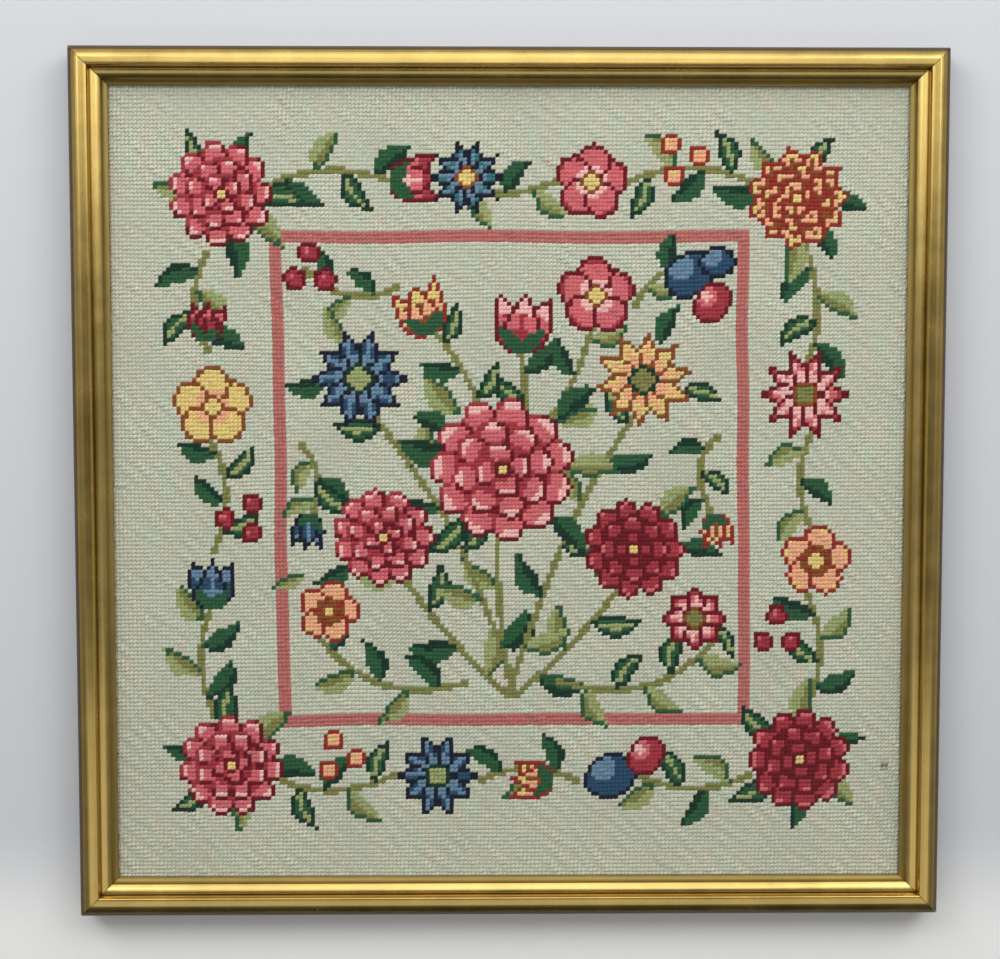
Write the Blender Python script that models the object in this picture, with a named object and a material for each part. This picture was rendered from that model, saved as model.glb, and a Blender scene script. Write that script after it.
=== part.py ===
# Framed needlepoint panel: four mitred moulding rails around one stretched needlepoint sheet.
# Metres, +Z up. The panel lies on its back, face up, with the picture's top towards +Y.
# The origin is the centre of the back, on the surface that the rails rest on.

import math

import bmesh
import bpy
from mathutils import Matrix, Vector

# Overall size
OUTER_SIDE = 0.4570
FACE_WIDTH = 0.0190
DEPTH = 0.0200
MITRE_GAP = 0.0003

# Rebate behind the sight edge, which holds the sheet
REBATE_WIDTH = 0.0060
REBATE_DEPTH = 0.0075
LIP_THICKNESS = 0.0016

# Outer bead: a tall round, flat across its inner half and steep at the groove
OUTER_BEAD_WIDTH = 0.0109
OUTER_BEAD_CREST = 0.0070
OUTER_BEAD_BASE = 0.0148
OUTER_BEAD_INNER_FOOT = 0.0156
OUTER_BEAD_FULLNESS = 1.7
OUTER_BEAD_INNER_FULLNESS = 6.0
OUTER_BEAD_STEPS = 12

# Groove between the beads
GROOVE_WIDTH = 0.0005
GROOVE_HEIGHT = 0.0136

# Inner bead: a lower round that leans towards the cloth
INNER_BEAD_TOP = 0.0144
INNER_BEAD_PULL = (0.01325, 0.0143)
INNER_BEAD_FOOT = (0.0159, 0.01215)
INNER_BEAD_STEPS = 12
INNER_BEAD_QUIRK = 0.0003

# Scooped lip that slopes down to the cloth
SCOOP_PULL = (0.0167, 0.0097)
SCOOP_STEPS = 6

# Needlepoint sheet: canvas and wool together
SHEET_THICKNESS = 0.0024
SHEET_GAP = 0.0003

# Colours
GILT = (0.56, 0.40, 0.13)
SAGE_WOOL = (0.55, 0.57, 0.44)


def clear_scene():
    for obj in list(bpy.data.objects):
        bpy.data.objects.remove(obj, do_unlink=True)


def material(name, colour, roughness, metallic):
    made = bpy.data.materials.new(name)
    made.use_nodes = True
    shader = made.node_tree.nodes["Principled BSDF"]
    shader.inputs["Base Color"].default_value = (*colour, 1.0)
    shader.inputs["Roughness"].default_value = roughness
    shader.inputs["Metallic"].default_value = metallic
    return made


def round_quarter(centre, half_width, rise, start, end, fullness):
    """Points on a quarter round, from the start angle to the end angle; an ellipse has a fullness of 2."""
    points = []
    for step in range(OUTER_BEAD_STEPS + 1):
        angle = math.radians(start + (end - start) * step / OUTER_BEAD_STEPS)
        out = abs(math.cos(angle)) ** (2 / fullness)
        up = abs(math.sin(angle)) ** (2 / fullness)
        points.append((centre[0] + half_width * math.copysign(out, math.cos(angle)), centre[1] + rise * up))
    return points


def bend(start, pull, end, steps):
    """Points on a curve from the start to the end, drawn towards the pull."""
    points = []
    for step in range(steps + 1):
        t = step / steps
        ends = [(1 - t) ** 2 * a + t * t * b for a, b in zip(start, end)]
        points.append(tuple(e + 2 * t * (1 - t) * p for e, p in zip(ends, pull)))
    return points


def moulding_profile():
    """The moulding's section as (distance in from the outer edge, height), counter-clockwise from the back."""
    crest = OUTER_BEAD_CREST
    groove_end = OUTER_BEAD_WIDTH + GROOVE_WIDTH
    lip_top = REBATE_DEPTH + LIP_THICKNESS
    profile = [
        (0.0, 0.0),
        (FACE_WIDTH - REBATE_WIDTH, 0.0),
        (FACE_WIDTH - REBATE_WIDTH, REBATE_DEPTH),
        (FACE_WIDTH, REBATE_DEPTH),
    ]
    scoop_top = (INNER_BEAD_FOOT[0], INNER_BEAD_FOOT[1] - INNER_BEAD_QUIRK)
    profile += bend((FACE_WIDTH, lip_top), SCOOP_PULL, scoop_top, SCOOP_STEPS)
    profile += bend(INNER_BEAD_FOOT, INNER_BEAD_PULL, (groove_end, INNER_BEAD_TOP), INNER_BEAD_STEPS)
    profile.append((groove_end, GROOVE_HEIGHT))
    profile.append((OUTER_BEAD_WIDTH, GROOVE_HEIGHT))
    foot = OUTER_BEAD_INNER_FOOT
    inner = round_quarter((crest, foot), OUTER_BEAD_WIDTH - crest, DEPTH - foot, 0, 90, OUTER_BEAD_INNER_FULLNESS)
    outer = round_quarter((crest, OUTER_BEAD_BASE), crest, DEPTH - OUTER_BEAD_BASE, 90, 180, OUTER_BEAD_FULLNESS)
    return profile + inner + outer[1:]


def rail(name, turn, finish):
    """A rail along the bottom edge, mitred at both ends, then turned about +Z to its own side."""
    mesh = bmesh.new()
    half = OUTER_SIDE / 2
    mitre_inset = MITRE_GAP / math.sqrt(2)
    section = []
    for across, height in moulding_profile():
        section.append(mesh.verts.new((-half + across + mitre_inset, -half + across, height)))
    end_face = mesh.faces.new(section)
    swept = bmesh.ops.extrude_face_region(mesh, geom=[end_face])
    far_end = [item for item in swept["geom"] if isinstance(item, bmesh.types.BMVert)]
    for vert in far_end:
        vert.co.x = -vert.co.x
    bmesh.ops.recalc_face_normals(mesh, faces=mesh.faces)
    bmesh.ops.rotate(mesh, cent=Vector(), matrix=Matrix.Rotation(math.radians(turn), 3, "Z"), verts=mesh.verts)
    add_object(name, mesh, finish)


def needlepoint(finish):
    """One flat sheet, stretched in the rebate just under its ledge."""
    side = OUTER_SIDE - 2 * (FACE_WIDTH - REBATE_WIDTH + SHEET_GAP)
    top = REBATE_DEPTH - SHEET_GAP
    mesh = bmesh.new()
    bmesh.ops.create_cube(mesh, size=1.0)
    bmesh.ops.scale(mesh, vec=(side, side, SHEET_THICKNESS), verts=mesh.verts)
    bmesh.ops.translate(mesh, vec=(0.0, 0.0, top - SHEET_THICKNESS / 2), verts=mesh.verts)
    add_object("needlepoint", mesh, finish)


def add_object(name, mesh, finish):
    data = bpy.data.meshes.new(name)
    mesh.to_mesh(data)
    mesh.free()
    data.shade_smooth()
    data.set_sharp_from_angle(angle=math.radians(35))
    data.materials.append(finish)
    bpy.context.scene.collection.objects.link(bpy.data.objects.new(name, data))


def main():
    clear_scene()
    for name, turn in (("rail_bottom", 0), ("rail_right", 90), ("rail_top", 180), ("rail_left", 270)):
        rail(name, turn, material(name + "_gilt", GILT, 0.35, 0.8))
    needlepoint(material("needlepoint_wool", SAGE_WOOL, 0.95, 0.0))


main()
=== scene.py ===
# Framed needlepoint panel: gilt moulding, canvas, and one small shape of yarn for every tent stitch.
# Metres, +Z up. The panel lies on its back with the stitched face up and the picture's top towards +Y.

import math

import bmesh
import bpy
import numpy as np
from mathutils import Matrix, Vector


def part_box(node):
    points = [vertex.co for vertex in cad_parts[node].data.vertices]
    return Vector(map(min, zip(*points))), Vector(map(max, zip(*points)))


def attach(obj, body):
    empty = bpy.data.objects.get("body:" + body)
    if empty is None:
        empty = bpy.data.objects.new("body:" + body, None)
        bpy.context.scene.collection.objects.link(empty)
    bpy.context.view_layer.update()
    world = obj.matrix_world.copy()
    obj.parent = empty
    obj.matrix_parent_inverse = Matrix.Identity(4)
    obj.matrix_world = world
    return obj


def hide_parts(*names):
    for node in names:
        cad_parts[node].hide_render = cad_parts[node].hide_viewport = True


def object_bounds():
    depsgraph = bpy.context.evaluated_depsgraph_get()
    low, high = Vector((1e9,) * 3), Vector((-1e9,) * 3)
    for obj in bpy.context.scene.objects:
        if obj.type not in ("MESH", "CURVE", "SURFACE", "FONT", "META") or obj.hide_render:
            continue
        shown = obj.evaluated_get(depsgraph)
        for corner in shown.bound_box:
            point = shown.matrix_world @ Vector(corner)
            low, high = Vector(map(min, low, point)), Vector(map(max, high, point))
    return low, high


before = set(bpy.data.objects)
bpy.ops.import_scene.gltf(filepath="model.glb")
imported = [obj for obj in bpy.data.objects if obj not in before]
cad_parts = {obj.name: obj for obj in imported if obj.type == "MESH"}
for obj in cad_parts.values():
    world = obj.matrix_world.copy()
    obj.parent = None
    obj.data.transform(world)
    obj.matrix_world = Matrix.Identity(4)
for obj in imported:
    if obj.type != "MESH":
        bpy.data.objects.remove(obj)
CAD_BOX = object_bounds()
SHEET_LOW, SHEET_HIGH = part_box("needlepoint")
OUTER_HALF = CAD_BOX[1].x

# Photograph's view
CAMERA_PLACE = (-0.0168, 0.0602, 0.8978)
CAMERA_TURN = (-3.635, -0.741, 0.008)
LENS_MM = 60.61
SENSOR_MM = 36.0

# Canvas and stitches, at 12 stitches to the inch
PITCH = 0.0254 / 12
ROW_PITCH = 0.002104
COLUMNS = 202
ROWS = 202
STITCH_LENGTH = PITCH * 1.62
YARN_WIDTH = 0.00240
YARN_DEPTH = 0.00115
END_DIP = 0.00018
END_START = 0.45
UNDERSIDE_FLATNESS = 0.55
CANVAS_BACK_INSET = 0.00030
CANVAS_SKEW = -0.0140
CANVAS_WANDER = 0.0004
BACK_LUMP = 0.00012
GROUND_PIECES = 4
BAKE_CELL_MARGIN = 0.07

# Moulding
FACE_WIDTH = 0.0190
BARE_WOOD_TOP = 0.0012
# Shares of the face, from the outer edge: where the umber paint and its painted shade end and where the
# scooped lip starts
EDGE_END = 0.100
LIP_START = 0.836

# Softboxes: name, place, what they face, width, depth and watts
SOFTBOXES = (
    ("upper_softbox", (0, 0.87, 0.86), (0, 0.87, 0), 0.64, 1.244, 4.0),
    ("upper_left_fill", (-0.745, 0.87, 0.86), (-0.745, 0.87, 0), 0.85, 1.244, 2.62),
    ("upper_right_fill", (0.745, 0.87, 0.86), (0.745, 0.87, 0), 0.85, 1.244, 2.62),
    ("lower_softbox", (0, -0.50, 0.86), (0, -0.50, 0), 1.604, 0.464, 1.59),
    ("left_key", (-1.10, 1.05, 1.10), (0, 0, 0), 0.90, 0.90, 9.8),
    ("right_key", (1.10, 1.05, 1.10), (0, 0, 0), 0.90, 0.90, 9.8),
)

# The room's light from the horizon up to overhead: share of the way up, and brightness.
# The slope is the share by which it is brighter towards +Y and darker towards -Y.
ROOM_LIGHT = ((0.0, 0.50), (0.45, 0.25), (0.80, 0.30), (1.0, 0.10))
ROOM_SLOPE = 0.95
ROOM_TINT = (1.0, 0.98, 0.96)

# Floor
FLOOR_HALF = 2.5
FLOOR_DROP = 0.0005


# The stitch chart

COLUMN, ROW = np.meshgrid(np.arange(COLUMNS) - (COLUMNS - 1) / 2, np.arange(ROWS) - (ROWS - 1) / 2)

# Yarn colours as seen, 0 to 255
YARNS = {
    "sage": (205, 208, 187),
    "band_pink": (192, 115, 108),
    "crimson": (112, 14, 28),
    "rose": (170, 56, 68),
    "pink": (218, 112, 118),
    "blush": (250, 194, 188),
    "forest": (16, 56, 40),
    "green": (44, 94, 60),
    "olive": (134, 136, 78),
    "celadon": (162, 173, 116),
    "teal": (50, 118, 122),
    "navy": (18, 24, 44),
    "blue": (42, 78, 108),
    "periwinkle": (110, 142, 168),
    "yellow": (236, 210, 132),
    "peach": (244, 182, 140),
    "brown": (140, 78, 36),
    "rust": (150, 46, 36),
}
# Yarns that share a piece
WOOL_KINDS = {
    "red_wools": ("band_pink", "crimson", "rose", "pink", "blush", "rust"),
    "green_wools": ("forest", "green", "olive", "celadon"),
    "bright_wools": ("teal", "navy", "blue", "periwinkle", "yellow", "peach", "brown"),
}
YARN_NAMES = list(YARNS)
GROUND = YARN_NAMES.index("sage")
chart = np.full((ROWS, COLUMNS), GROUND)

# Band's centre lines, in stitches from the middle, and half its width
BAND_LEFT, BAND_RIGHT, BAND_BOTTOM, BAND_TOP = -58, 59, -60, 63
BAND_HALF = 1.5

# Petal tones from base to tip, outline, eye and ring round the eye
BLOOMS = {
    "pink": (("rose", "pink", "blush"), "crimson", "yellow", "rose"),
    "red": (("crimson", "rose", "pink"), "crimson", "yellow", "rust"),
    "blue": (("periwinkle", "blue", "periwinkle"), "navy", "celadon", "forest"),
    "teal": (("periwinkle", "teal", "teal"), "navy", "yellow", "brown"),
    "yellow": (("peach", "yellow", "yellow"), "brown", "olive", "forest"),
    "orange": (("brown", "peach", "yellow"), "rust", "yellow", "brown"),
    "pale": (("blush", "pink", "rose"), "crimson", "olive", "brown"),
}

# A curving stem: start, pull and end, how many leaves, leaf length, and the leaves' kinds in turn
STEMS = (
    (0, -53, -5, -24, -3, 0, 3, 12, "dl"),
    (-1, -53, -18, -38, -32, -16, 4, 13, "ldv"),
    (1, -53, 18, -40, 31, -20, 4, 13, "dlv"),
    (0, -50, -12, -8, -37, 22, 6, 13, "dlv"),
    (0, -50, 14, -6, 34, 22, 6, 13, "ldv"),
    (2, 10, 6, 20, 3, 34, 3, 11, "dv"),
    (8, 14, 18, 26, 22, 44, 3, 11, "ld"),
    (-6, 16, -10, 30, -19, 40, 3, 11, "vd"),
    (-12, -50, -36, -57, -49, -38, 5, 12, "dl"),
    (12, -50, 36, -57, 50, -40, 5, 12, "lv"),
    (-28, 50, -40, 44, -50, 54, 3, 10, "dl"),
    (32, 46, 38, 58, 50, 54, 3, 10, "ld"),
    (52, 12, 44, 6, 51, -8, 3, 10, "dv"),
    (-52, 10, -45, 2, -50, -8, 3, 10, "ld"),
    (-60, 75, -44, 82, -28, 76, 4, 12, "dlv"),
    (-12, 76, -2, 70, 12, 76, 3, 11, "ld"),
    (60, 76, 46, 83, 30, 76, 4, 12, "vdl"),
    (74, 60, 80, 44, 75, 32, 4, 12, "dlv"),
    (76, 14, 70, 2, 76, -12, 3, 11, "ld"),
    (75, -56, 81, -42, 75, -28, 4, 12, "dvl"),
    (60, -74, 46, -81, 32, -74, 4, 12, "ldv"),
    (16, -75, 4, -69, -8, -75, 3, 11, "dl"),
    (-58, -75, -46, -81, -30, -74, 4, 12, "vdl"),
    (-75, -58, -81, -44, -75, -30, 4, 12, "dl"),
    (-74, -16, -68, 0, -75, 12, 4, 11, "vd"),
    (-75, 58, -81, 46, -75, 34, 4, 12, "dlv"),
)

# Loose leaves tucked behind the flowers: place, length, turn and kind
LEAVES = (
    (-14, 8, 15, 162, "d"),
    (-12, 18, 14, 128, "l"),
    (12, 16, 14, 42, "d"),
    (14, 4, 14, -2, "l"),
    (10, -8, 13, -48, "d"),
    (-12, -8, 13, 222, "v"),
    (-40, -6, 12, 140, "v"),
    (-40, -20, 11, 205, "d"),
    (38, -8, 12, 40, "l"),
    (42, -16, 11, -8, "d"),
    (-40, 36, 11, 118, "l"),
    (-45, 26, 11, 182, "d"),
    (38, 36, 11, 62, "d"),
    (43, 24, 11, -18, "v"),
    (-24, 18, 11, -30, "d"),
    (22, 20, 11, 200, "l"),
    (-52, -22, 9, 200, "l"),
    (51, -36, 9, -60, "v"),
)

# Each corner flower's place, the turns and lengths of the leaves round it, and their kinds
CORNERS = (
    (-71, 73, ((-80, 16), (-42, 15), (-8, 16), (62, 11), (118, 12), (172, 12)), "dlvdvl"),
    (72, 72, ((-98, 16), (-60, 12), (-8, 12), (60, 12), (128, 13), (172, 16)), "lddvld"),
    (73, -70, ((-150, 15), (-96, 12), (-42, 13), (18, 12), (82, 16), (136, 15)), "vdldlv"),
    (-71, -71, ((-8, 16), (42, 15), (88, 16), (162, 12), (218, 13), (276, 12)), "dlvdvl"),
)

# Flowers and fruit: kind, place, size, turn and colours
MOTIFS = (
    ("peony", -2, 4, 18, 8, "pink"),
    ("peony", -32, -13, 12.5, 20, "pink"),
    ("peony", 31, -16, 12.5, 0, "red"),
    ("daisy", 34, 27, 12.5, 10, "yellow"),
    ("daisy", -37, 27, 12.5, 0, "blue"),
    ("tulip", 3, 33, 17, 84, "pink"),
    ("tulip", -19, 38, 15, 112, "orange"),
    ("dog_rose", 22, 48, 10, 20, "pale"),
    ("plum", 45, 53, 6.5, 30, "blue"),
    ("plum", 51, 46, 5.5, 60, "red"),
    ("plum", 52, 56, 4.6, 0, "blue"),
    ("berries", -49, 54, 2.9, 0, "red"),
    ("dog_rose", -46, -32, 8, 5, "orange"),
    ("daisy", 46, -34, 9, 0, "pale"),
    ("tulip", -50, -7, 10, 262, "blue"),
    ("tulip", 51, -7, 10, 278, "orange"),
    ("peony", -71, 73, 13, 20, "pink"),
    ("tulip", -29, 76, 14, 6, "pale"),
    ("daisy", -10, 77, 9.5, 0, "teal"),
    ("dog_rose", 21, 76, 9.5, 12, "pale"),
    ("berries", 43, 82, 2.6, 40, "orange"),
    ("dahlia", 72, 72, 13, -30, "orange"),
    ("daisy", 74, 23, 11.5, 0, "pale"),
    ("dog_rose", 77, -19, 9, 10, "orange"),
    ("berries", 67, -37, 2.7, 0, "red"),
    ("peony", 73, -70, 13, 10, "red"),
    ("plum", 25, -74, 7, 20, "blue"),
    ("plum", 34, -69, 5.6, 60, "red"),
    ("tulip", 10, -75, 12, 178, "orange"),
    ("daisy", -19, -74, 11, 0, "blue"),
    ("berries", -44, -69, 2.6, 20, "orange"),
    ("peony", -71, -71, 13, 15, "pink"),
    ("tulip", -75, -31, 14, 88, "blue"),
    ("dog_rose", -74, 20, 10, 20, "yellow"),
    ("berries", -67, -8, 2.7, 90, "red"),
    ("tulip", -76, 36, 11, 80, "red"),
)
LEAF_KINDS = {"d": "dark", "l": "light", "v": "veined"}
LEAF_BEND = 0.12
CORNER_REACH = 8
BERRY_REACH = 4.4


def work(where, yarn):
    """Work these stitches of the chart in this yarn."""
    chart[where] = YARN_NAMES.index(yarn)


def turned(x, y, degrees):
    """Each stitch's place along and across a line that starts at (x, y)."""
    angle = math.radians(degrees)
    right = COLUMN - x
    up = ROW - y
    along = right * math.cos(angle) + up * math.sin(angle)
    across = up * math.cos(angle) - right * math.sin(angle)
    return along, across


def rim(where):
    """The outermost row of stitches of a shape."""
    inner = where.copy()
    for axis in (0, 1):
        for step in (-1, 1):
            inner &= np.roll(where, step, axis)
    return where & ~inner


def disc(x, y, radius, squash=1.0, degrees=0.0):
    along, across = turned(x, y, degrees)
    return along ** 2 + (across / squash) ** 2 < radius ** 2


def lens(x, y, length, width, degrees, fullest=1.0, bend=0.0):
    """A pointed oval from (x, y): its stitches, how far along each lies, and how far to its side."""
    along, across = turned(x, y, degrees)
    share = np.clip(along / length, 0, 1)
    across = across - 4 * bend * length * share * (1 - share)
    half = width / 2 * np.sin(math.pi * share ** fullest)
    return (along > 0) & (along < length) & (np.abs(across) < half), share, across


def leaf(x, y, length, degrees, kind, bend=LEAF_BEND):
    width = max(3.4, length * 0.44)
    where, share, across = lens(x, y, length, width, degrees, 0.85, bend)
    if kind == "dark":
        work(where, "green")
        work(where & (across < -0.6), "forest")
        work(rim(where) & (across < 0.2), "forest")
    elif kind == "light":
        work(where, "celadon")
        work(where & (across < 0), "olive")
        work(rim(where) & (across < 0.4), "green")
    else:
        work(where, "green")
        work(rim(where), "forest")
        work(where & (np.abs(across) < 0.6) & (share > 0.15) & (share < 0.8), "celadon")


def stem(row):
    """A curve through a start, a pull and an end, with leaves on alternate sides."""
    x0, y0, x1, y1, x2, y2, count, length, kinds = row
    steps = int(4 * (math.hypot(x1 - x0, y1 - y0) + math.hypot(x2 - x1, y2 - y1)))
    for step in range(steps + 1):
        x, y, _ = on_curve(row, step / steps)
        work(disc(x, y, 0.8), "olive")
    for step in range(count):
        x, y, heading = on_curve(row, (step + 0.7) / (count + 0.4))
        side = 1 if step % 2 else -1
        leaf(x, y, length, heading + 50 * side, LEAF_KINDS[kinds[step % len(kinds)]], LEAF_BEND * side)


def on_curve(row, t):
    x0, y0, x1, y1, x2, y2 = row[:6]
    x = (1 - t) ** 2 * x0 + 2 * t * (1 - t) * x1 + t * t * x2
    y = (1 - t) ** 2 * y0 + 2 * t * (1 - t) * y1 + t * t * y2
    right = (1 - t) * (x1 - x0) + t * (x2 - x1)
    up = (1 - t) * (y1 - y0) + t * (y2 - y1)
    return x, y, math.degrees(math.atan2(up, right))


def petal(x, y, start, length, width, degrees, tones, edge):
    """A pointed petal that starts this far from the flower's middle."""
    angle = math.radians(degrees)
    foot = (x + start * math.cos(angle), y + start * math.sin(angle))
    where, share, across = lens(*foot, length, width, degrees, 0.62)
    base, middle, tip = tones
    work(where, middle)
    work(where & (share < 0.36), base)
    work(where & (share > 0.62), tip)
    work(where & (np.abs(across) < 0.5) & (share > 0.3) & (share < 0.62), base)
    work(rim(where), edge)


def peony(x, y, radius, degrees, bloom):
    """Three rings of rounded petals, pale at their tips and edged in the darkest tone away from the light."""
    tones, edge, eye, _ = bloom
    base, middle, tip = tones
    for ring, size in ((0.74, 0.28), (0.47, 0.25), (0.20, 0.22)):
        reach = radius * ring
        width = radius * size
        count = max(4, round(2 * math.pi * reach / (width * 1.5)))
        for step in range(count):
            turn = degrees * (1 + ring) + 360 * step / count
            angle = math.radians(turn)
            place = (x + reach * math.cos(angle), y + reach * math.sin(angle))
            where = disc(*place, width, 0.88, turn)
            along, across = turned(*place, turn)
            work(where, middle)
            work(where & (along < -0.25 * width), base)
            work(where & (along > 0.42 * width), tip)
            lit = (ROW - place[1]) - (COLUMN - place[0]) > width * 0.5
            work(rim(where), edge)
            work(rim(where) & lit, base)
    work(disc(x, y, radius * 0.1 + 0.4), edge)
    work(disc(x, y, radius * 0.05 + 0.1), eye)


def dahlia(x, y, radius, degrees, bloom):
    """Rings of overlapping petals, the outer ones worked first."""
    tones, edge, eye, _ = bloom
    rings = max(2, round(radius / 4.6))
    for ring in range(rings):
        outer = radius * (1 - 0.28 * ring)
        count = max(5, round(2 * math.pi * outer / 7.6))
        length = min(outer, radius * 0.54)
        width = 2 * math.pi * outer / count * 1.06
        for step in range(count):
            turn = degrees + 360 * (step + 0.5 * (ring % 2)) / count
            petal(x, y, outer - length, length, width, turn, tones, edge)
    work(disc(x, y, 1.6), edge)
    work(disc(x, y, 0.9), eye)


def daisy(x, y, radius, degrees, bloom):
    """One ring of pointed petals round a large eye."""
    tones, edge, eye, lash = bloom
    count = 10 if radius > 9 else 8
    for step in range(count):
        width = 2 * math.pi * radius * 0.74 / count
        petal(x, y, radius * 0.2, radius * 0.8, width, degrees + 360 * step / count, tones, edge)
    work(disc(x, y, radius * 0.3), lash)
    work(disc(x, y, radius * 0.3 - 1), eye)


def dog_rose(x, y, radius, degrees, bloom):
    """Five round petals, darker towards the middle."""
    tones, edge, _, _ = bloom
    away = np.hypot(COLUMN - x, ROW - y)
    for step in range(5):
        angle = math.radians(degrees + 72 * step)
        reach = radius * 0.54
        where = disc(x + reach * math.cos(angle), y + reach * math.sin(angle), radius * 0.47)
        work(where, tones[1])
        work(where & (away < radius * 0.45), tones[0])
        work(where & (away > radius * 0.84), tones[2])
        work(rim(where), edge)
    work(disc(x, y, radius * 0.28), "brown")
    work(disc(x, y, radius * 0.28 - 0.9), "yellow")


def tulip(x, y, length, degrees, bloom):
    """Three pointed petals in two small leaves."""
    tones, edge, _, _ = bloom
    for lean, reach, width in ((-24, 1.0, 0.5), (24, 1.0, 0.5), (0, 0.92, 0.58)):
        petal(x, y, 0, length * reach, length * width, degrees + lean, tones, edge)
    for lean in (-40, 40):
        where, _, _ = lens(x, y, length * 0.5, length * 0.24, degrees + lean, 0.8)
        work(where, "green")


def plum(x, y, radius, degrees, bloom):
    """A round fruit with a paler patch and a small shine towards the light."""
    tones, edge, _, _ = bloom
    base, middle, tip = tones
    lit_x = x - radius * 0.3
    lit_y = y + radius * 0.3
    paler = base if tip == middle else tip
    shine = "blush" if edge == "crimson" else "periwinkle"
    where = disc(x, y, radius, 0.84, degrees)
    work(where, middle)
    work(where & disc(lit_x, lit_y, radius * 0.5), paler)
    work(where & disc(lit_x, lit_y, radius * 0.22), shine)
    work(rim(where), edge)


def berries(x, y, radius, degrees, bloom):
    """Three round berries, close together."""
    tones, edge, _, _ = bloom
    for step in range(3):
        angle = math.radians(degrees + 120 * step + 90)
        place = (x + BERRY_REACH * math.cos(angle), y + BERRY_REACH * math.sin(angle))
        work(disc(*place, radius), tones[1])
        work(rim(disc(*place, radius)), edge)
        work(disc(place[0] - 0.6, place[1] + 0.6, 0.7), tones[2])


def corner_leaves():
    for x, y, leaves, kinds in CORNERS:
        for (turn, length), kind in zip(leaves, kinds):
            angle = math.radians(turn)
            place = (x + CORNER_REACH * math.cos(angle), y + CORNER_REACH * math.sin(angle))
            leaf(*place, length - 2, turn, LEAF_KINDS[kind])


def fill_chart():
    """The band first, then stems and leaves, then the flowers over them."""
    outside = (COLUMN > BAND_LEFT - BAND_HALF) & (COLUMN < BAND_RIGHT + BAND_HALF)
    outside &= (ROW > BAND_BOTTOM - BAND_HALF) & (ROW < BAND_TOP + BAND_HALF)
    inside = (COLUMN > BAND_LEFT + BAND_HALF) & (COLUMN < BAND_RIGHT - BAND_HALF)
    inside &= (ROW > BAND_BOTTOM + BAND_HALF) & (ROW < BAND_TOP - BAND_HALF)
    work(outside & ~inside, "band_pink")
    for row in STEMS:
        stem(row)
    corner_leaves()
    for x, y, length, degrees, kind in LEAVES:
        leaf(x, y, length, degrees, LEAF_KINDS[kind])
    makers = {
        "peony": peony,
        "dahlia": dahlia,
        "daisy": daisy,
        "dog_rose": dog_rose,
        "tulip": tulip,
        "plum": plum,
        "berries": berries,
    }
    for kind, x, y, size, degrees, colours in MOTIFS:
        makers[kind](x, y, size, degrees, BLOOMS[colours])


# The stitches

SHEET_HALF = SHEET_HIGH.x
WOOL_TOP = SHEET_HIGH.z
CANVAS_TOP = WOOL_TOP - 0.00045
CANVAS_SHADE = 0.85
CANVAS_COLOUR = (176, 166, 138)

# Waves over the cloth: shortest and longest, heading and spread in degrees, and seed
LEAN = (0.06, 0.16, 0, 90, 11)
SWAY = (0.06, 0.16, 0, 90, 12)
RIBS = (0.0045, 0.0085, 52, 20, 21)
HILLS = (0.030, 0.080, 0, 90, 22)
WARMTH = (0.012, 0.030, 0, 90, 23)

# How far ribs, the yarn's tension and hills raise a stitch from its place just under the sheet's top
RIB_RISE = 0.00009
TENSION_RISE = 0.00006
HILL_RISE = 0.00004
STITCH_DROP = 0.00007

# By what share they lighten the ground where they raise it, as painted light, and by what share the wool's
# red, green and blue wander
RIB_PAINTED_LIGHT = 0.028
TENSION_PAINTED_LIGHT = 0.018
HILL_PAINTED_LIGHT = 0.026
WARMTH_TINT = (0.020, -0.008, -0.006)

# How single stitches differ: tone, place, size as length, width and depth, and turn in degrees
GROUND_SPREAD = 0.022
MOTIF_SPREAD = 0.035
PLACE_SPREAD = 0.00004
SIZE_SPREADS = (0.03, 0.05, 0.05)
TURN_SPREAD = 3

# Marks: a dark fleck, a pucker in the left edge in painted shade with a lifted row above it in painted light,
# and a painted reflection of the gilt lip on the left edge
FLECK_PLACE = (0.2012, -0.1508)
FLECK_DEPTH = 0.7
PUCKER_END = -0.2041
PUCKER_HEIGHT = -0.0018
PUCKER_DIP = 0.0004
PUCKER_SHADE = 0.55
LIFTED_RISE = 0.0001
LIFTED_SHADE = 1.12
# Painted reflection of the gilt lip on the wool's left edge: where it ends, its fade, its share and its
# colour.
LIP_REFLECTION_EDGE = -0.2072
LIP_REFLECTION_FADE = 0.0015
LIP_REFLECTION_SHARE = 0.45
LIP_REFLECTION_COLOUR = (206, 192, 160)


def linear(colour):
    """Screen values from 0 to 255 as amounts of light."""
    share = np.asarray(colour, float) / 255
    return np.where(share <= 0.04045, share / 12.92, ((share + 0.055) / 1.055) ** 2.4)


def waves(x, y, shortest, longest, heading, spread, seed):
    """A smooth unevenness of about 1 either way: seeded waves of these lengths, in metres."""
    dice = np.random.default_rng(seed)
    count = 18
    total = 0
    for _ in range(count):
        length = dice.uniform(shortest, longest)
        angle = math.radians(heading + dice.uniform(-spread, spread))
        start = dice.uniform(0, 2 * math.pi)
        along = x * math.cos(angle) + y * math.sin(angle)
        total = total + np.cos(2 * math.pi * along / length + start)
    return total / math.sqrt(count / 2)


def carried(x, y):
    """Where the stretched canvas carries a stitch: its middle leans, and its threads wander."""
    hold = (1 - (x / SHEET_HALF) ** 4) * (1 - (y / SHEET_HALF) ** 4)
    lean = CANVAS_SKEW * y + CANVAS_WANDER * waves(x, y, *LEAN)
    sway = CANVAS_WANDER * waves(x, y, *SWAY)
    return x + hold * lean, y + hold * sway


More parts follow.
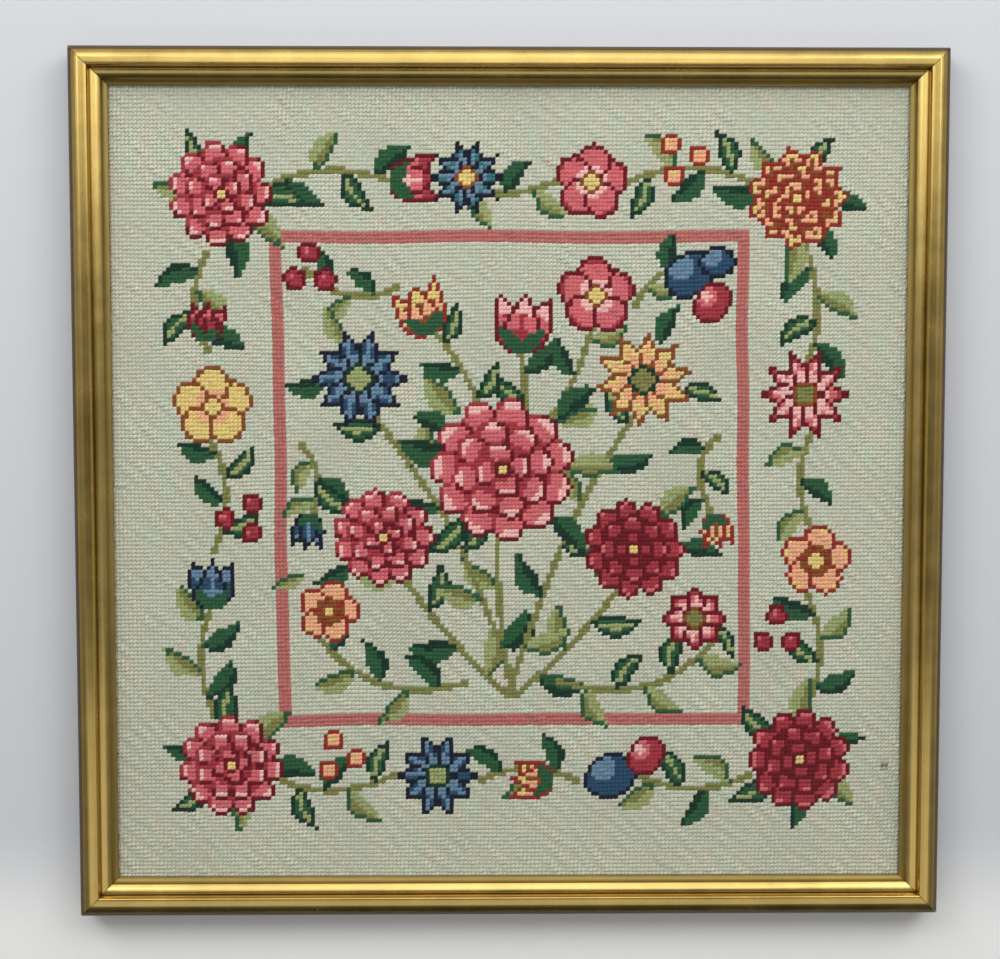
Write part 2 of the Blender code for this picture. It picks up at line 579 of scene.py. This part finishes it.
def stitch_shape():
    """One stitch: a plump length of yarn, flatter below, with its ends dipped, lying to the upper right."""
    form = bmesh.new()
    form.loops.layers.uv.new("Yarn")
    bmesh.ops.create_uvsphere(form, u_segments=5, v_segments=3, radius=0.5, calc_uvs=True)
    bmesh.ops.triangulate(form, faces=form.faces)
    lying = Matrix.Rotation(math.radians(-90), 4, "Y")
    bmesh.ops.transform(form, matrix=lying, verts=form.verts)
    bmesh.ops.scale(form, vec=(STITCH_LENGTH, YARN_WIDTH, YARN_DEPTH), verts=form.verts)
    below = [v for v in form.verts if v.co.z < -1e-6]
    bmesh.ops.scale(form, vec=(1, 1, UNDERSIDE_FLATNESS), verts=below)
    ends = [v for v in form.verts if abs(v.co.x) > STITCH_LENGTH * END_START]
    bmesh.ops.translate(form, vec=(0, 0, -END_DIP), verts=ends)
    top = max(v.co.z for v in form.verts)
    bmesh.ops.translate(form, vec=(0, 0, -top), verts=form.verts)
    slant = Matrix.Rotation(math.radians(45), 4, "Z")
    bmesh.ops.transform(form, matrix=slant, verts=form.verts)
    mesh = bpy.data.meshes.new("stitch")
    form.to_mesh(mesh)
    form.free()
    return mesh


def of_mesh(mesh):
    """A mesh's points, triangles and first map as arrays."""
    points = np.empty(len(mesh.vertices) * 3)
    mesh.vertices.foreach_get("co", points)
    corners = np.empty(len(mesh.loops), int)
    mesh.loops.foreach_get("vertex_index", corners)
    places = np.empty(len(mesh.loops) * 2)
    mesh.uv_layers[0].uv.foreach_get("vector", places)
    return points.reshape(-1, 3), corners.reshape(-1, 3), places.reshape(-1, 2)


def yarn_colours():
    return linear([YARNS[name] for name in YARN_NAMES])


def dyed_and_lit(dice, x, y, ribs, tension, hills):
    """Each stitch's colour, uneven from stitch to stitch and over the cloth, with painted light where the
    ground rises.
    """
    # Ribs, tension and hills lighten the ground stitches they raise: painted light.
    ground_tone_and_light = 1 + RIB_PAINTED_LIGHT * ribs + TENSION_PAINTED_LIGHT * tension + HILL_PAINTED_LIGHT * hills
    ground_tone_and_light += dice.normal(0, GROUND_SPREAD, chart.shape)
    motif_tone = 1 + dice.normal(0, MOTIF_SPREAD, chart.shape)
    tone = np.where(chart == GROUND, ground_tone_and_light, motif_tone)
    tint = waves(x, y, *WARMTH)[..., None] * np.array(WARMTH_TINT)
    return yarn_colours()[chart] * tone[..., None] * (1 + tint)


def marked(x, y, z, colour):
    """The stitches' heights and colours with the pucker and its painted shade, the lifted row and its painted
    light, the fleck, and the lip's painted reflection on the edge.
    """
    pucker = (x < PUCKER_END) & (np.abs(y - PUCKER_HEIGHT) < PITCH * 0.55)
    lifted = (x < PUCKER_END) & (np.abs(y - PUCKER_HEIGHT - PITCH * 1.3) < PITCH * 0.7)
    z = z - PUCKER_DIP * pucker + LIFTED_RISE * lifted
    # The pucker's row is darker: painted shade in the crease.
    colour = np.where(pucker[..., None], colour * PUCKER_SHADE, colour)
    # The lifted row above it is lighter: painted light.
    colour = np.where(lifted[..., None], colour * LIFTED_SHADE, colour)
    away = np.hypot(x - FLECK_PLACE[0], y - FLECK_PLACE[1]) / PITCH
    fleck = FLECK_DEPTH * np.clip(1.5 - away, 0, 1)
    colour = colour * (1 - fleck[..., None])
    # The stitches by the left lip take a gilt tan: painted reflection of the gold lip.
    lip_reflection = LIP_REFLECTION_SHARE * np.clip((LIP_REFLECTION_EDGE - x) / LIP_REFLECTION_FADE, 0, 1)[..., None]
    return z, colour * (1 - lip_reflection) + linear(LIP_REFLECTION_COLOUR) * lip_reflection


def lay_stitches():
    """Every stitch's place, size, turn and colour, as grids like the chart."""
    dice = np.random.default_rng(7)
    x, y = carried(COLUMN * PITCH, ROW * ROW_PITCH)
    ribs = waves(x, y, *RIBS)
    hills = waves(x, y, *HILLS)
    pulls = np.convolve(dice.normal(0, 1, ROWS + COLUMNS + 1), (0.25, 0.5, 0.25), "same")
    tension = pulls[np.add.outer(np.arange(ROWS), np.arange(COLUMNS))]
    z = WOOL_TOP - STITCH_DROP + RIB_RISE * ribs + TENSION_RISE * tension + HILL_RISE * hills
    z, colour = marked(x, y, z, dyed_and_lit(dice, x, y, ribs, tension, hills))
    x = x + dice.normal(0, PLACE_SPREAD, chart.shape)
    y = y + dice.normal(0, PLACE_SPREAD, chart.shape)
    size = np.stack([1 + dice.normal(0, spread, chart.shape) for spread in SIZE_SPREADS], -1)
    turn = np.radians(dice.normal(0, TURN_SPREAD, chart.shape))
    return x, y, z, size, turn, np.clip(colour, 0, 1)


def wool_piece(name, shape, laid, picked):
    """All stitches picked from the chart as one piece, each with its own cell of the bake map."""
    points, faces, places = shape
    x, y, z, size, turn, colour = (grid[picked] for grid in laid)
    count = len(x)
    each = points[None] * size[:, None]
    cosine = np.cos(turn)[:, None]
    sine = np.sin(turn)[:, None]
    across = each[..., 0] * cosine - each[..., 1] * sine + x[:, None]
    up = each[..., 0] * sine + each[..., 1] * cosine + y[:, None]
    high = each[..., 2] + z[:, None]
    verts = np.stack((across, up, high), -1).reshape(-1, 3)
    first = np.arange(count)[:, None, None] * len(points)
    tris = (faces[None] + first).reshape(-1, 3)
    mesh = bpy.data.meshes.new(name)
    mesh.from_pydata(verts, [], tris)

    yarn_map = mesh.uv_layers.new(name="Yarn")
    yarn_map.uv.foreach_set("vector", np.tile(places, (count, 1)).ravel())
    side = math.ceil(math.sqrt(count))
    cells = np.stack((np.arange(count) % side, np.arange(count) // side), -1)
    in_cell = places[None] * (1 - 2 * BAKE_CELL_MARGIN) + BAKE_CELL_MARGIN
    baked = (in_cell + cells[:, None]) / side
    bake_map = mesh.uv_layers.new(name="OFBake")
    bake_map.uv.foreach_set("vector", baked.reshape(-1))

    # The colour attribute holds the yarn colours with their painted light and shade.
    dye_and_light = mesh.color_attributes.new("dye_and_light", "FLOAT_COLOR", "POINT")
    shade = np.ones((count, len(points), 4))
    shade[..., :3] = colour[:, None]
    dye_and_light.data.foreach_set("color", shade.ravel())
    mesh.shade_smooth()
    piece = bpy.data.objects.new(name, mesh)
    bpy.context.scene.collection.objects.link(piece)
    mesh.materials.append(WOOL)
    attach(piece, "root")
    return piece


def wool_pieces():
    """The ground in strips, then the other yarns by kind."""
    shape = of_mesh(stitch_shape())
    laid = lay_stitches()
    made = []
    ground = chart == GROUND
    edges = np.linspace(0, ROWS, GROUND_PIECES + 1).astype(int)
    for number in range(GROUND_PIECES):
        strip = np.zeros_like(ground)
        strip[edges[number]:edges[number + 1]] = True
        made.append(wool_piece(f"ground_wool_{number + 1}", shape, laid, ground & strip))
    for name, yarns in WOOL_KINDS.items():
        picked = np.isin(chart, [YARN_NAMES.index(yarn) for yarn in yarns])
        made.append(wool_piece(name, shape, laid, picked))
    return made


def canvas_sheet():
    """The canvas: small lumps on its back where the yarn crosses, and yarn-coloured threads on its front,
    darkened as painted shade between the stitches.
    """
    form = bmesh.new()
    across = COLUMNS + 2
    up = ROWS + 2
    back = SHEET_LOW.z + CANVAS_BACK_INSET
    for level in (back, CANVAS_TOP):
        side = bmesh.ops.create_grid(form, x_segments=across, y_segments=up, size=SHEET_HALF)
        bmesh.ops.translate(form, vec=(0, 0, level), verts=side["verts"])
    bmesh.ops.bridge_loops(form, edges=[e for e in form.edges if e.is_boundary])
    bmesh.ops.recalc_face_normals(form, faces=form.faces)
    mesh = bpy.data.meshes.new("canvas")
    form.to_mesh(mesh)
    form.free()

    points = np.empty(len(mesh.vertices) * 3)
    mesh.vertices.foreach_get("co", points)
    points = points.reshape(-1, 3)
    column = np.rint((points[:, 0] + SHEET_HALF) * across / (2 * SHEET_HALF)).astype(int)
    row = np.rint((points[:, 1] + SHEET_HALF) * up / (2 * SHEET_HALF)).astype(int)
    inner = (column > 0) & (column < across) & (row > 0) & (row < up)
    behind = points[:, 2] < (back + CANVAS_TOP) / 2
    x, y = carried((column - across / 2) * PITCH, (row - up / 2) * ROW_PITCH)
    points[inner, 0] = x[inner]
    points[inner, 1] = y[inner]
    lump = np.where((column + row) % 2, BACK_LUMP, -BACK_LUMP)
    points[inner & behind, 2] += lump[inner & behind]
    mesh.vertices.foreach_set("co", points.ravel())
    mesh.update()

    corners = np.empty(len(mesh.loops), int)
    mesh.loops.foreach_get("vertex_index", corners)
    corners = corners.reshape(-1, 4)
    first_column = column[corners].min(1) - 1
    first_row = row[corners].min(1) - 1
    facing_back = behind[corners].all(1)
    edge = behind[corners].any(1) & ~facing_back
    bare = edge | (first_column < 0) | (first_column >= COLUMNS) | (first_row < 0) | (first_row >= ROWS)
    worked = chart[np.clip(first_row, 0, ROWS - 1), np.clip(first_column, 0, COLUMNS - 1)]
    shade = yarn_colours()[worked]
    # The front, seen only between the stitches, is darkened: painted shade.
    shade[~facing_back] *= CANVAS_SHADE
    shade[bare] = linear(CANVAS_COLOUR)
    # The colour attribute holds the yarn colours with the painted shade between the stitches.
    dye_and_light = mesh.color_attributes.new("dye_and_light", "FLOAT_COLOR", "CORNER")
    filled = np.ones((corners.size, 4))
    filled[:, :3] = np.repeat(shade, 4, axis=0)
    dye_and_light.data.foreach_set("color", filled.ravel())
    mesh.shade_smooth()
    piece = bpy.data.objects.new("canvas", mesh)
    bpy.context.scene.collection.objects.link(piece)
    mesh.materials.append(CANVAS)
    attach(piece, "root")
    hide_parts("needlepoint")
    return piece


# Finishes

# Plies of the yarn, and scales of the wool's fuzz and of the canvas's threads and patches
PLIES = 3
FUZZ_SCALE = 2600.0
THREAD_SCALE = 900.0
PATCH_SCALE = 70.0

# Scales of the gilt's streaks and of the bare wood's grain, along a rail and across it
STREAK_SCALES = (9.0, 700.0)
WOOD_GRAIN_SCALES = (22.0, 420.0)

# Scales of the gilt's cloudy patches and of its grit
CLOUD_SCALE = 45.0
GRIT_SCALE = 1500.0

# The gilt's roughness, from smoothest to roughest, and how much more its matt places and bare wood have
SATIN_ROUGHNESS = (0.21, 0.28)
MATT_EXTRA = 0.24
BARE_WOOD_EXTRA = 0.5

# The floor's paper, paler towards the front as painted light: where it turns pale, in metres up the picture,
# and its two tones
PAPER_TURN = (-0.18, -0.25)
PAPER_TONES_AND_LIGHT = ((0.0, (0.63, 0.65, 0.68)), (1.0, (0.93, 0.93, 0.92)))


def add(tree, kind, inputs=(), **settings):
    """A new node with its settings, and its inputs set or linked."""
    made = tree.nodes.new(kind)
    for setting, value in settings.items():
        setattr(made, setting, value)
    for socket, value in dict(inputs).items():
        if isinstance(value, bpy.types.NodeSocket):
            tree.links.new(value, made.inputs[socket])
        else:
            made.inputs[socket].default_value = value
    return made


def finish_named(name):
    """An empty material, its tree, and its shader."""
    made = bpy.data.materials.new(name)
    made.use_nodes = True
    return made, made.node_tree, made.node_tree.nodes["Principled BSDF"]


def math_of(tree, operation, first, second=0.0, third=0.0):
    return add(tree, "ShaderNodeMath", {0: first, 1: second, 2: third}, operation=operation).outputs[0]


def blend_of(tree, how, share, first, second):
    """Two colours mixed; sockets 0, 6 and 7 of the colour mix."""
    made = add(tree, "ShaderNodeMix", {0: share, 6: first, 7: second}, data_type="RGBA", blend_type=how)
    return made.outputs[2]


def ramp_of(tree, share, stops, how="LINEAR"):
    """A colour ramp with these (place, colour) stops, colours in amounts of light."""
    made = add(tree, "ShaderNodeValToRGB", {0: share})
    made.color_ramp.interpolation = how
    stops_there = made.color_ramp.elements
    while len(stops_there) < len(stops):
        stops_there.new(0.5)
    for stop, (place, colour) in zip(stops_there, stops):
        stop.position = place
        stop.color = (*colour, 1)
    return made.outputs[0]


def noise_of(tree, vector, scale, detail, roughness=0.5, distortion=0.0):
    """An unevenness between 0 and 1."""
    inputs = {"Vector": vector, "Scale": scale, "Detail": detail}
    inputs.update({"Roughness": roughness, "Distortion": distortion})
    return add(tree, "ShaderNodeTexNoise", inputs).outputs["Fac"]


def ranged(tree, value, from_ends, to_ends):
    """A value carried from one range to another, and held there."""
    inputs = {"Value": value, "From Min": from_ends[0], "From Max": from_ends[1]}
    inputs.update({"To Min": to_ends[0], "To Max": to_ends[1]})
    return add(tree, "ShaderNodeMapRange", inputs).outputs[0]


def shaded(tree, colour, first, second):
    """A colour made darker or paler by two shares."""
    both = math_of(tree, "MULTIPLY", first, second)
    grey = add(tree, "ShaderNodeCombineColor", {0: both, 1: both, 2: both})
    return blend_of(tree, "MULTIPLY", 1.0, colour, grey.outputs[0])


def wool_finish():
    """Matt tapestry wool: three plies that twist along each stitch, painted darker between the plies as
    shade, and short fuzz.
    """
    made, tree, shader = finish_named("tapestry_wool")
    dye_and_light = add(tree, "ShaderNodeAttribute", attribute_name="dye_and_light")
    yarn_place = add(tree, "ShaderNodeUVMap", uv_map="Yarn")
    parts = add(tree, "ShaderNodeSeparateXYZ", {0: yarn_place.outputs[0]})
    round_yarn = math_of(tree, "MULTIPLY", parts.outputs[0], PLIES * 2 * math.pi)
    down_yarn = math_of(tree, "MULTIPLY", parts.outputs[1], 2 * math.pi)
    twist = math_of(tree, "SINE", math_of(tree, "ADD", round_yarn, down_yarn))
    place = add(tree, "ShaderNodeTexCoord")
    fuzz = noise_of(tree, place.outputs["Object"], FUZZ_SCALE, 3.0, 0.6)
    # Darker where the twist dips between the plies: painted shade.
    ply_shade = math_of(tree, "MULTIPLY_ADD", twist, 0.05, 0.95)
    fuzzed = ranged(tree, fuzz, (0.3, 0.7), (0.90, 1.08))
    colour = shaded(tree, dye_and_light.outputs["Color"], ply_shade, fuzzed)
    tree.links.new(colour, shader.inputs["Base Color"])
    height = math_of(tree, "MULTIPLY_ADD", twist, 0.35, fuzz)
    bump = add(tree, "ShaderNodeBump", {"Height": height, "Strength": 0.7, "Distance": 0.00012})
    tree.links.new(bump.outputs[0], shader.inputs["Normal"])
    shader.inputs["Roughness"].default_value = 0.95
    shader.inputs["Specular IOR Level"].default_value = 0.15
    shader.inputs["Sheen Weight"].default_value = 0.12
    shader.inputs["Sheen Roughness"].default_value = 0.6
    return made


def canvas_finish():
    """The back of the work: yarn crossings, each a little uneven, on stiffened cotton canvas."""
    made, tree, shader = finish_named("canvas_back")
    dye_and_light = add(tree, "ShaderNodeAttribute", attribute_name="dye_and_light")
    place = add(tree, "ShaderNodeTexCoord")
    threads = noise_of(tree, place.outputs["Object"], THREAD_SCALE, 4.0, 0.65)
    patches = noise_of(tree, place.outputs["Object"], PATCH_SCALE, 2.0)
    fine = ranged(tree, threads, (0.3, 0.7), (0.74, 1.06))
    broad = ranged(tree, patches, (0.3, 0.7), (0.92, 1.04))
    colour = shaded(tree, dye_and_light.outputs["Color"], fine, broad)
    tree.links.new(colour, shader.inputs["Base Color"])
    bump = add(tree, "ShaderNodeBump", {"Height": threads, "Strength": 0.8, "Distance": 0.0004})
    tree.links.new(bump.outputs[0], shader.inputs["Normal"])
    shader.inputs["Roughness"].default_value = 0.95
    shader.inputs["Specular IOR Level"].default_value = 0.15
    return made


# Gilt tones across the moulding, from the outer edge to the sight edge, as shares of its face, with painted
# shade on the outer side, in the groove and on the lip
GILT_TONES_AND_SHADE = (
    # Umber paint on the outer side, made dark enough to stand also for painted shade
    (0.00, (0.070, 0.045, 0.020)),
    (EDGE_END, (0.070, 0.045, 0.020)),
    (0.160, (0.62, 0.44, 0.14)),
    (0.34, (0.63, 0.455, 0.15)),
    (0.565, (0.60, 0.42, 0.12)),
    # Darker in the groove: dirt, and painted shade in the groove
    (0.575, (0.52, 0.34, 0.08)),
    (0.603, (0.52, 0.34, 0.08)),
    (0.615, (0.62, 0.445, 0.140)),
    (0.72, (0.65, 0.475, 0.160)),
    (0.833, (0.62, 0.445, 0.140)),
    # Darker on the lip: painted shade under the inner bead
    (0.840, (0.32, 0.215, 0.055)),
    (0.90, (0.32, 0.225, 0.07)),
    (1.00, (0.32, 0.235, 0.08)),
)

# Bare wood's tones, from its dark grain to its pale
WOOD_TONES = (
    (0.30, (0.30, 0.17, 0.080)),
    (0.50, (0.50, 0.32, 0.165)),
    (0.72, (0.60, 0.41, 0.23)),
)


def drawn_out(tree, running, inward, rise, along, across):
    """A place for noise that runs lengthwise: scaled by one number along a rail and by another across it."""
    return add(tree, "ShaderNodeCombineXYZ", {
        0: math_of(tree, "MULTIPLY", running, along),
        1: math_of(tree, "MULTIPLY", inward, across),
        2: math_of(tree, "MULTIPLY", rise, across),
    }).outputs[0]


def gilt_finish():
    """Satin gilt on wood, matt on the lip: umber paint on the outer side, darkened also as painted shade,
    with painted shade in the groove and on the lip, and bare wood behind.
    """
    made, tree, shader = finish_named("satin_gilt")
    place = add(tree, "ShaderNodeTexCoord")
    parts = add(tree, "ShaderNodeSeparateXYZ", {0: place.outputs["Object"]})
    x, y, z = parts.outputs
    far_x = math_of(tree, "ABSOLUTE", x)
    far_y = math_of(tree, "ABSOLUTE", y)
    inward = math_of(tree, "SUBTRACT", OUTER_HALF, math_of(tree, "MAXIMUM", far_x, far_y))
    share = math_of(tree, "DIVIDE", inward, FACE_WIDTH)
    upright = math_of(tree, "GREATER_THAN", far_x, far_y)
    running = add(tree, "ShaderNodeMix", {0: upright, 2: x, 3: y}, data_type="FLOAT").outputs[0]
    behind = math_of(tree, "LESS_THAN", z, BARE_WOOD_TOP)
    edge = math_of(tree, "LESS_THAN", share, EDGE_END)
    lip = math_of(tree, "GREATER_THAN", share, LIP_START)

    streaks = noise_of(tree, drawn_out(tree, running, inward, z, *STREAK_SCALES), 1.0, 4.0, 0.6)
    clouds = noise_of(tree, place.outputs["Object"], CLOUD_SCALE, 5.0, 0.6)
    grit = noise_of(tree, place.outputs["Object"], GRIT_SCALE, 2.0)
    streaked = ranged(tree, streaks, (0.35, 0.65), (0.90, 1.05))
    clouded = ranged(tree, clouds, (0.35, 0.65), (0.88, 1.06))
    gold = shaded(tree, ramp_of(tree, share, GILT_TONES_AND_SHADE), streaked, clouded)

    grain_place = drawn_out(tree, running, inward, z, *WOOD_GRAIN_SCALES)
    wood = ramp_of(tree, noise_of(tree, grain_place, 1.0, 5.0, distortion=0.6), WOOD_TONES)
    colour = blend_of(tree, "MIX", behind, gold, wood)
    tree.links.new(colour, shader.inputs["Base Color"])

    metal = math_of(tree, "SUBTRACT", 1.0, math_of(tree, "MAXIMUM", behind, edge))
    tree.links.new(metal, shader.inputs["Metallic"])
    satin = ranged(tree, clouds, (0.3, 0.7), SATIN_ROUGHNESS)
    matt = math_of(tree, "MULTIPLY", math_of(tree, "MAXIMUM", edge, lip), MATT_EXTRA)
    dull = math_of(tree, "MULTIPLY_ADD", behind, BARE_WOOD_EXTRA, matt)
    tree.links.new(math_of(tree, "ADD", satin, dull), shader.inputs["Roughness"])
    height = math_of(tree, "MULTIPLY_ADD", grit, 0.3, streaks)
    bump = add(tree, "ShaderNodeBump", {"Height": height, "Strength": 0.20, "Distance": 0.00010})
    tree.links.new(bump.outputs[0], shader.inputs["Normal"])
    return made


def stage_finish():
    """A pale sweep of paper, lighter towards the front as painted light."""
    made, tree, shader = finish_named("pale_floor")
    place = add(tree, "ShaderNodeTexCoord")
    parts = add(tree, "ShaderNodeSeparateXYZ", {0: place.outputs["Object"]})
    nearer = ranged(tree, parts.outputs[1], PAPER_TURN, (0.0, 1.0))
    paper_and_light = ramp_of(tree, nearer, PAPER_TONES_AND_LIGHT, "EASE")
    tree.links.new(paper_and_light, shader.inputs["Base Color"])
    shader.inputs["Roughness"].default_value = 0.8
    return made


# Floor, lights and camera


def lay_floor():
    form = bmesh.new()
    bmesh.ops.create_grid(form, x_segments=1, y_segments=1, size=FLOOR_HALF)
    bmesh.ops.translate(form, vec=(0, 0, -FLOOR_DROP), verts=form.verts)
    mesh = bpy.data.meshes.new("floor")
    form.to_mesh(mesh)
    form.free()
    floor = bpy.data.objects.new("floor", mesh)
    bpy.context.scene.collection.objects.link(floor)
    mesh.materials.append(stage_finish())


def softbox(name, place, aim, width, depth, watts):
    lamp = bpy.data.lights.new(name, "AREA")
    lamp.shape = "RECTANGLE"
    lamp.size = width
    lamp.size_y = depth
    lamp.energy = watts
    holder = bpy.data.objects.new(name, lamp)
    holder.location = place
    holder.rotation_euler = (Vector(aim) - Vector(place)).to_track_quat("-Z", "Y").to_euler()
    bpy.context.scene.collection.objects.link(holder)


def set_stage():
    lay_floor()
    for name, place, aim, width, depth, watts in SOFTBOXES:
        softbox(name, place, aim, width, depth, watts)
    world = bpy.data.worlds.new("studio")
    world.use_nodes = True
    tree = world.node_tree
    facing = add(tree, "ShaderNodeTexCoord")
    parts = add(tree, "ShaderNodeSeparateXYZ", {0: facing.outputs["Generated"]})
    stops = [(up, [light * part for part in ROOM_TINT]) for up, light in ROOM_LIGHT]
    glow = ramp_of(tree, parts.outputs[2], stops)
    sloped = math_of(tree, "MULTIPLY_ADD", parts.outputs[1], ROOM_SLOPE, 1.0)
    tree.links.new(glow, tree.nodes["Background"].inputs["Color"])
    tree.links.new(sloped, tree.nodes["Background"].inputs["Strength"])
    bpy.context.scene.world = world
    bpy.context.scene.view_settings.view_transform = "Standard"


def set_camera():
    lens_data = bpy.data.cameras.new("camera")
    lens_data.sensor_fit = "HORIZONTAL"
    lens_data.sensor_width = SENSOR_MM
    lens_data.lens = LENS_MM
    lens_data.clip_start = 0.01
    camera = bpy.data.objects.new("camera", lens_data)
    camera.location = CAMERA_PLACE
    camera.rotation_euler = [math.radians(angle) for angle in CAMERA_TURN]
    bpy.context.scene.collection.objects.link(camera)
    bpy.context.scene.camera = camera


set_camera()
set_stage()

GILT = gilt_finish()
for rail in ("rail_bottom", "rail_right", "rail_top", "rail_left"):
    for material_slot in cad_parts[rail].material_slots:
        material_slot.material = GILT

fill_chart()
WOOL = wool_finish()
CANVAS = canvas_finish()
canvas = canvas_sheet()
wool = wool_pieces()
